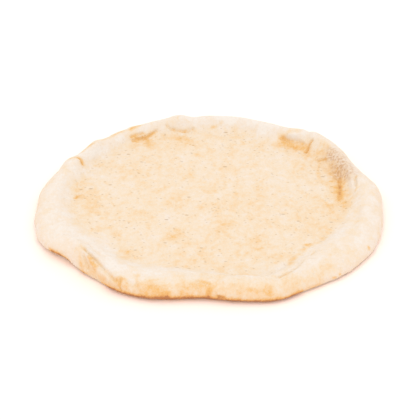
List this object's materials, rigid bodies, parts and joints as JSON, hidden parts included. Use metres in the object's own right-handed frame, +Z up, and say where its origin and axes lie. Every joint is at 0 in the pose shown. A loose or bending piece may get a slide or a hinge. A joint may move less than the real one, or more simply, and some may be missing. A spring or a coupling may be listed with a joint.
{
  "type": "pizza base",
  "caption": "Round part-baked dough base with a thin flat middle and a raised, uneven, puffed rim, ready for toppings.",
  "frame": {"origin": "middle of the bounding box, on the flat underside", "axes": "+Z up through the thin middle; +X right and +Y back as the base lies in front of the viewer"},
  "size_m": [0.2966, 0.297, 0.0191],
  "materials": {
    "baked_dough": "matt, floury part-baked bread crust"
  },
  "bodies": {
    "root": {"pizza_base": "baked_dough"}
  },
  "joints": []
}
